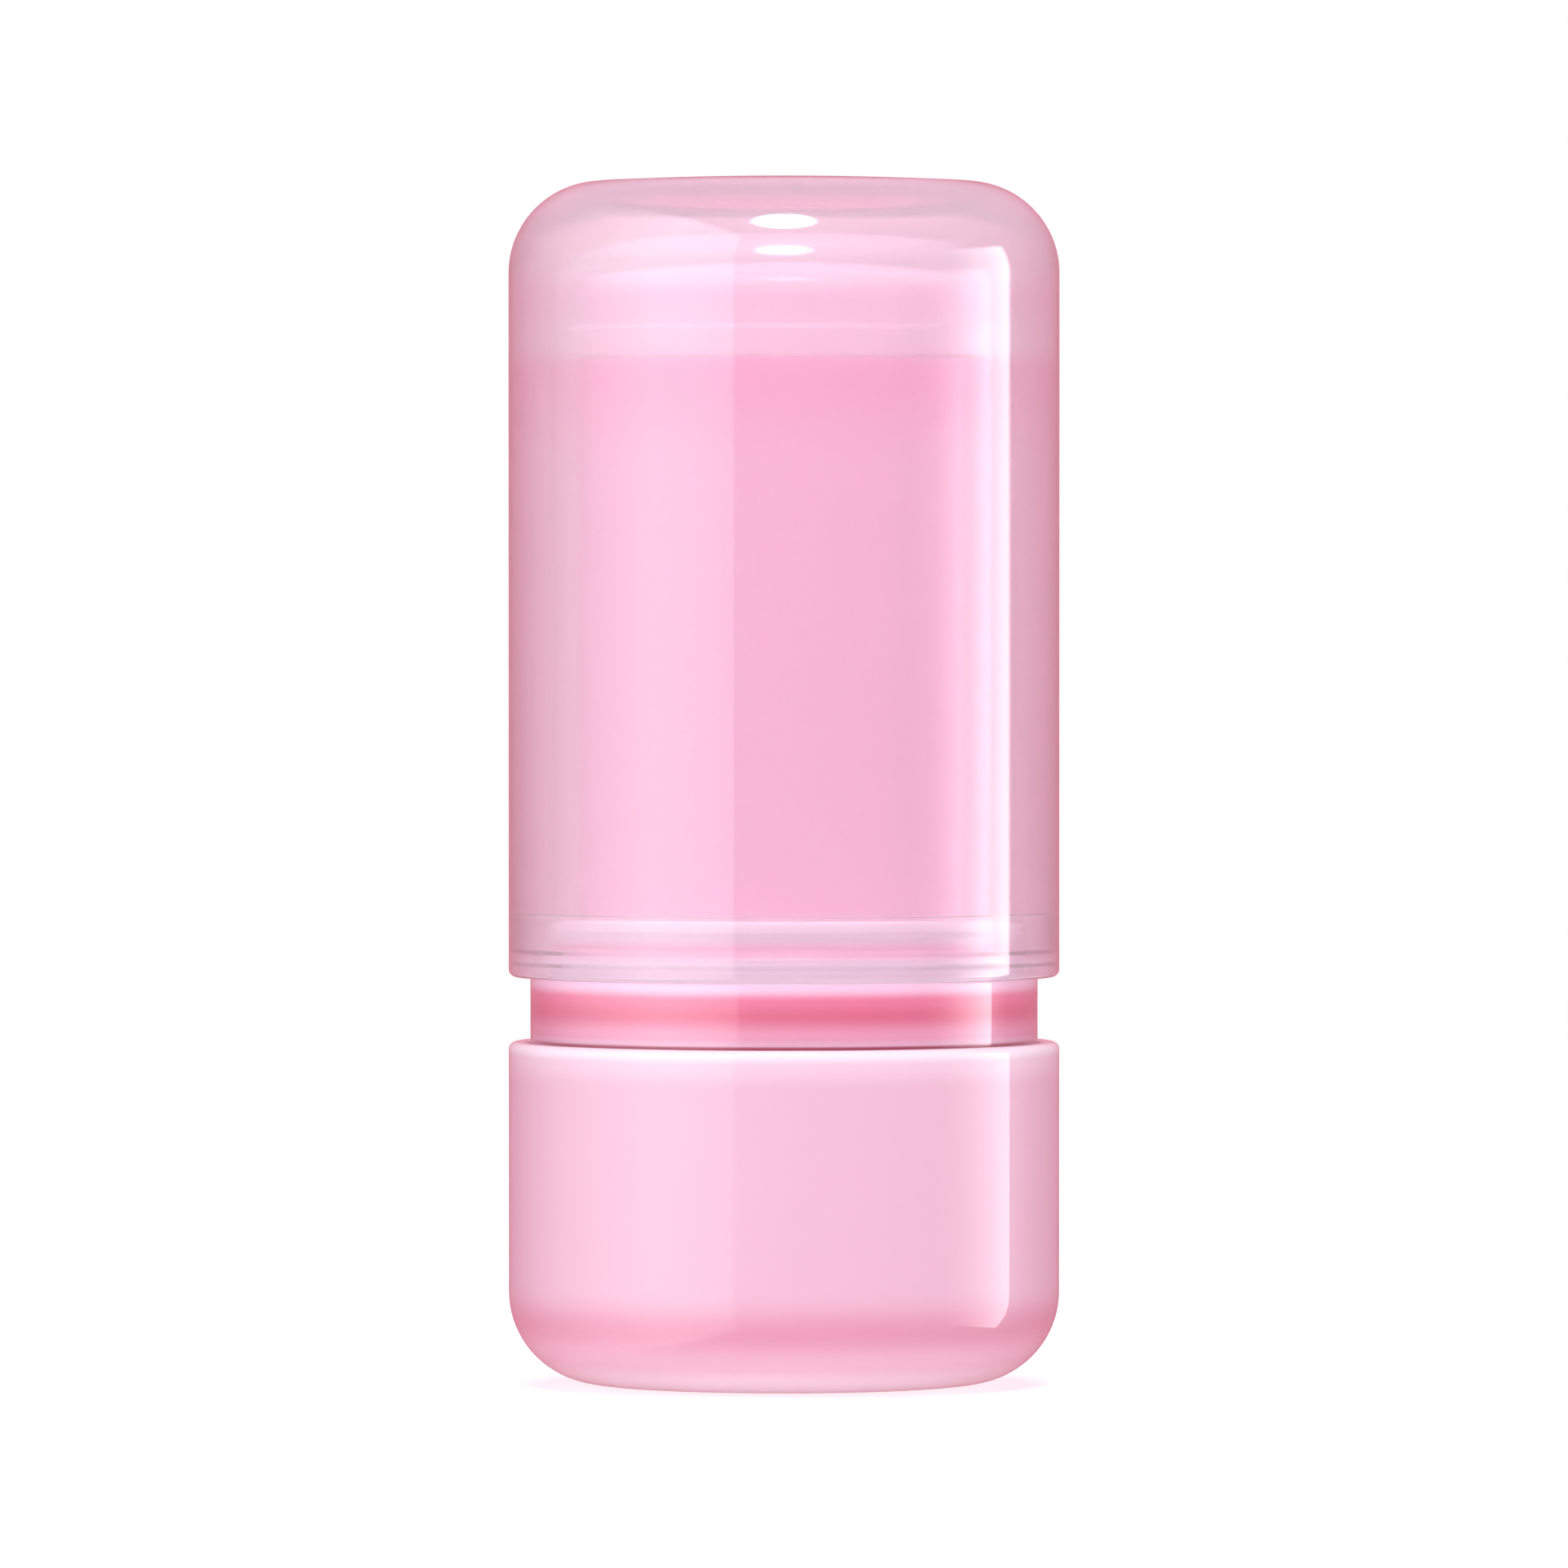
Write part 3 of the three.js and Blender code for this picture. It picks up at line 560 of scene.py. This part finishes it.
# ---- Balm ----
balm_slope = math.radians(BALM_SLOPE)
balm_crown_r = BALM_R - BALM_CORNER * (1 - math.sin(balm_slope))
balm_crown = 0.5 * balm_crown_r * math.tan(balm_slope)
balm_crown_low = balm_high - balm_crown
balm_corner = balm_crown_low - BALM_CORNER * math.cos(balm_slope)
balm_profile = filleted(
    [
        (0, balm_high - BALM_TOP_WALL, 0),
        (BALM_BORE, balm_high - BALM_TOP_WALL, EDGE),
        (BALM_BORE, balm_low + NUT_RISE, FINE),
        (NUT_R, balm_low + NUT_RISE, FINE),
        (NUT_R, balm_low, FINE),
        (CUP_BORE, balm_low, FINE),
        (CUP_BORE, balm_low + CUP_RISE, FINE),
        (BALM_R, balm_low + CUP_RISE, FINE),
        (BALM_R, balm_low + CUP_RISE + BALM_WALL_START, 0),
    ]
)
balm_profile += arc(BALM_R - BALM_CORNER, balm_corner, BALM_CORNER, 0, 90 - BALM_SLOPE, steps=8)
balm_profile += crown(balm_crown_r, balm_crown_low, balm_crown)
dress(turned("balm_skin", balm_profile), balm_wax, "balm_body", "balm", "balm_stick")

# ---- Inner lid ----
lid_r = flange_r - LID_FLANGE
lid_slope = math.radians(LID_SLOPE)
lid_crown_r = lid_r - LID_CORNER * (1 - math.sin(lid_slope))
lid_crown = 0.5 * lid_crown_r * math.tan(lid_slope)
lid_crown_low = lid_high - lid_crown
lid_corner = lid_crown_low - LID_CORNER * math.cos(lid_slope)
lid_seat = lid_low + LID_GRIP
lid_inner_r = BARREL_BORE + LID_OVERHANG
lid_profile = crown(lid_inner_r, lid_seat, lid_high - LID_ROOF - lid_seat)[::-1]
lid_profile += filleted(
    [
        (lid_inner_r, lid_seat, 0),
        (LID_BORE, lid_seat, FINE),
        (LID_BORE, lid_low, FINE),
        (flange_r, lid_low, GRIP_ROUND),
        (flange_r, lid_low + LID_FLANGE_HEIGHT, GRIP_ROUND),
        (lid_r, lid_low + LID_FLANGE_HEIGHT, SOFT),
        (lid_r, lid_low + LID_FLANGE_HEIGHT + LID_WALL_START, 0),
    ]
)
lid_profile += arc(lid_r - LID_CORNER, lid_corner, LID_CORNER, 0, 90 - LID_SLOPE, steps=8)
lid_profile += crown(lid_crown_r, lid_crown_low, lid_crown)
dress(turned("lid_skin", lid_profile), lid_clear, "lid_body", "lid_clear", "inner_lid")

# ---- Cap ----
ceiling = cap_high - CAP_ROOF
inner_corner = ceiling - CAP_INNER_CORNER
cap_profile = [(0, ceiling)]
cap_profile += arc(CAP_BORE - CAP_INNER_CORNER, inner_corner, CAP_INNER_CORNER, 90, 0, steps=16)
cap_profile += filleted(
    [
        (CAP_BORE, inner_corner - CAP_WALL_START, 0),
        (CAP_BORE, cap_low + MOUTH_DEPTH, HAIR),
        (MOUTH_BORE - MOUTH_LAND, cap_low + MOUTH_DEPTH, HAIR),
        (MOUTH_BORE, snap + SNAP_HALF, FINE),
        (MOUTH_BORE + MOUTH_GROOVE, snap + SNAP_HALF / 2, FINE),
        (MOUTH_BORE + MOUTH_GROOVE, snap - SNAP_HALF / 2, FINE),
        (MOUTH_BORE, snap - SNAP_HALF, FINE),
        (MOUTH_BORE, cap_low, FINE),
        (MOUTH_BORE + MOUTH_FLAT, cap_low, 0),
    ]
)
cap_profile += arc(cap_r - RIM_ROUND, cap_low + RIM_ROUND, RIM_ROUND, -90, 0, steps=8)
cap_profile += arc(cap_r - CORNER, cap_high - CAP_CROWN - CORNER, CORNER, 0, 90, steps=24)
cap_profile += crown(cap_r - CORNER, cap_high - CAP_CROWN, CAP_CROWN, steps=10)
dress(turned("cap_skin", cap_profile), cap_clear, "cap_body", "cap_tint", "over_cap")

# ---- CAD pieces that stay inside ----
for node, material in (
    ("base_core", white_plastic),
    ("spindle", white_plastic),
    ("balm_carrier", white_plastic),
    ("spindle_seal", seal_rubber),
):
    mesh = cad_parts[node].data
    mesh.materials.clear()
    mesh.materials.append(material)

# ---- Studio ----
scene = bpy.context.scene
scene.view_settings.view_transform = "Standard"


def aim(thing, target):
    thing.rotation_euler = (Vector(target) - thing.location).to_track_quat("-Z", "Y").to_euler()


def around(azimuth, distance, height):
    """A place round the stick: azimuth 0 is in front, towards -Y, and 90 on its right, towards +X."""
    a = math.radians(azimuth)
    return (distance * math.sin(a), -distance * math.cos(a), height)


def panel(name, place, target, size, radiance, unseen=(), ramp=None, soft=0.001):
    """A rectangular lamp: a ramp's stops shade it along its width, and soft fades its other two ends."""
    lamp = bpy.data.lights.new(name, "AREA")
    lamp.shape = "RECTANGLE"
    lamp.size, lamp.size_y = size
    lamp.energy = radiance * math.pi * size[0] * size[1]
    thing = bpy.data.objects.new(name, lamp)
    thing.location = place
    aim(thing, target)
    for ray in ("camera", "transmission", *unseen):
        setattr(thing, "visible_" + ray, False)
    bpy.context.collection.objects.link(thing)
    if ramp:
        lamp.use_nodes = True
        nodes, link = lamp.node_tree.nodes, lamp.node_tree.links
        where = nodes.new("ShaderNodeNewGeometry")
        split = nodes.new("ShaderNodeSeparateXYZ")
        shade = nodes.new("ShaderNodeValToRGB")
        while len(shade.color_ramp.elements) < len(ramp):
            shade.color_ramp.elements.new(0.5)
        for stop, (position, value) in zip(shade.color_ramp.elements, ramp):
            stop.position = position
            stop.color = (value, value, value, 1)
        link.new(where.outputs["Parametric"], split.inputs["Vector"])
        link.new(split.outputs["X"], shade.inputs["Fac"])
        link.new(shade.outputs["Color"], nodes["Emission"].inputs["Color"])
        middle = nodes.new("ShaderNodeMath")
        middle.operation = "PINGPONG"
        middle.inputs[1].default_value = 0.5
        ends = nodes.new("ShaderNodeMapRange")
        ends.interpolation_type = "SMOOTHSTEP"
        ends.inputs["From Max"].default_value = soft
        link.new(split.outputs["Y"], middle.inputs[0])
        link.new(middle.outputs["Value"], ends.inputs["Value"])
        link.new(ends.outputs["Result"], nodes["Emission"].inputs["Strength"])
    return thing


mirrored_only = ("diffuse",)  # a lamp that diffuse rays don't see is only mirrored
lit_only = ("glossy",)  # a lamp that glossy rays don't see only lights
panel(
    "left_panel",
    around(-79, 0.42, 0.12),
    around(-79, 0, 0.12),
    size=(1.36, 1.41),
    radiance=2.25,
    unseen=mirrored_only,
    ramp=[(0, 0.02), (0.13, 0.04), (0.3, 0.2), (0.45, 0.55), (0.62, 1), (1, 0.5)],
    soft=0.12,
)
right = panel(
    "right_strip",
    around(87, 0.60, 0.0),
    around(87, 0, 0.0),
    size=(0.46, 0.55),
    radiance=4.8,
    unseen=mirrored_only,
    ramp=[(0, 0), (0.2, 0.06), (0.4, 0.25), (0.68, 0.6), (0.9, 1)],
)
right.visible_transmission = True
top = panel("top_light", (0, -0.34, 0.67), (0, 0, cad_high.z * 0.7), size=(0.25, 0.25), radiance=13.0)
top.data.shape = "ELLIPSE"
top.visible_transmission = True
fill = {"target": (0, 0, 0.03), "size": (0.9, 0.7), "unseen": lit_only}
panel("front_fill", around(-5, 1.2, 0.35), radiance=1.5, **fill)
panel("back_fill", around(172, 1.2, 0.35), radiance=0.7, **fill)
panel("overhead", (0, 0.1, 0.8), (0, 0, 0), size=(0.8, 0.8), radiance=2.2, unseen=lit_only)

SKY_TOP = 0.65  # how far up the room's reflection turns from deep rose to pale, 1 being straight up
world = bpy.data.worlds.new("studio")
scene.world = world
world.use_nodes = True
nodes, link = world.node_tree.nodes, world.node_tree.links
path = nodes.new("ShaderNodeLightPath")


def seen_by(ray, otherwise, colour):
    """The room as one kind of ray sees it, or else as given."""
    pick = nodes.new("ShaderNodeMix")
    pick.data_type = "RGBA"
    for entry, value in (("A", otherwise), ("B", colour)):
        if isinstance(value, tuple):
            pick.inputs[entry].default_value = (*value, 1)
        else:
            link.new(value, pick.inputs[entry])
    link.new(path.outputs[ray], pick.inputs["Factor"])
    return pick.outputs["Result"]


room = seen_by("Is Diffuse Ray", (1, 1, 1), (0.38, 0.28, 0.31))
direction = nodes.new("ShaderNodeTexCoord")
upward = nodes.new("ShaderNodeSeparateXYZ")
rise = nodes.new("ShaderNodeMapRange")
rise.interpolation_type = "SMOOTHSTEP"
rise.inputs["From Max"].default_value = SKY_TOP
sky = nodes.new("ShaderNodeMix")
sky.data_type = "RGBA"
sky.inputs["A"].default_value = (0.66, 0.21, 0.28, 1)
sky.inputs["B"].default_value = (0.96, 0.54, 0.70, 1)
link.new(direction.outputs["Generated"], upward.inputs["Vector"])
link.new(upward.outputs["Z"], rise.inputs["Value"])
link.new(rise.outputs["Result"], sky.inputs["Factor"])
room = seen_by("Is Glossy Ray", room, sky.outputs["Result"])
room = seen_by("Is Transmission Ray", room, (0.86, 0.47, 0.60))
room = seen_by("Is Camera Ray", room, (1, 1, 1))
link.new(room, nodes["Background"].inputs["Color"])

FLOOR_R = 0.6
FLOOR_DROP = 0.0001
FADE_START = 0.12
FADE_END = 0.55


def pale_floor():
    """A round white floor, a little self-lit, that fades out into the white room round it."""
    mesh = bpy.data.meshes.new("floor")
    bm = bmesh.new()
    bmesh.ops.create_circle(bm, cap_ends=True, radius=FLOOR_R, segments=96)
    bm.to_mesh(mesh)
    bm.free()
    floor = bpy.data.objects.new("floor", mesh)
    bpy.context.collection.objects.link(floor)
    floor.location.z = -FLOOR_DROP
    floor.visible_glossy = False
    material, shader = plastic("floor_white", (0.72, 0.72, 0.72), (0.70, 0.70, 0.70), 0.6)
    shader.inputs["Emission Color"].default_value = (1, 1, 1, 1)
    shader.inputs["Emission Strength"].default_value = 0.48
    nodes, link = links(material)
    place = nodes.new("ShaderNodeTexCoord")
    length = nodes.new("ShaderNodeVectorMath")
    length.operation = "LENGTH"
    fade = nodes.new("ShaderNodeMapRange")
    fade.interpolation_type = "SMOOTHSTEP"
    fade.inputs["From Min"].default_value = FADE_START
    fade.inputs["From Max"].default_value = FADE_END
    open_end = nodes.new("ShaderNodeBsdfTransparent")
    pick = nodes.new("ShaderNodeMixShader")
    link.new(place.outputs["Object"], length.inputs[0])
    link.new(length.outputs["Value"], fade.inputs["Value"])
    link.new(fade.outputs["Result"], pick.inputs["Fac"])
    link.new(shader.outputs["BSDF"], pick.inputs[1])
    link.new(open_end.outputs["BSDF"], pick.inputs[2])
    link.new(pick.outputs["Shader"], nodes["Material Output"].inputs["Surface"])
    mesh.materials.append(material)


pale_floor()

# ---- Camera: in front and a little above the middle, on a long lens ----
camera_data = bpy.data.cameras.new("camera")
camera = bpy.data.objects.new("camera", camera_data)
bpy.context.collection.objects.link(camera)
scene.camera = camera
DISTANCE = 0.784
WIDTH = 0.08542  # of the view at the stick
CAMERA_HEIGHT = 0.04607
AIM_HEIGHT = 0.03263
SENSOR = 36
camera_data.sensor_width = SENSOR
camera_data.lens = SENSOR * DISTANCE / WIDTH
camera_data.clip_start = 0.01
camera_data.clip_end = 20
camera.location = (0, -DISTANCE, CAMERA_HEIGHT)
aim(camera, (0, 0, AIM_HEIGHT))
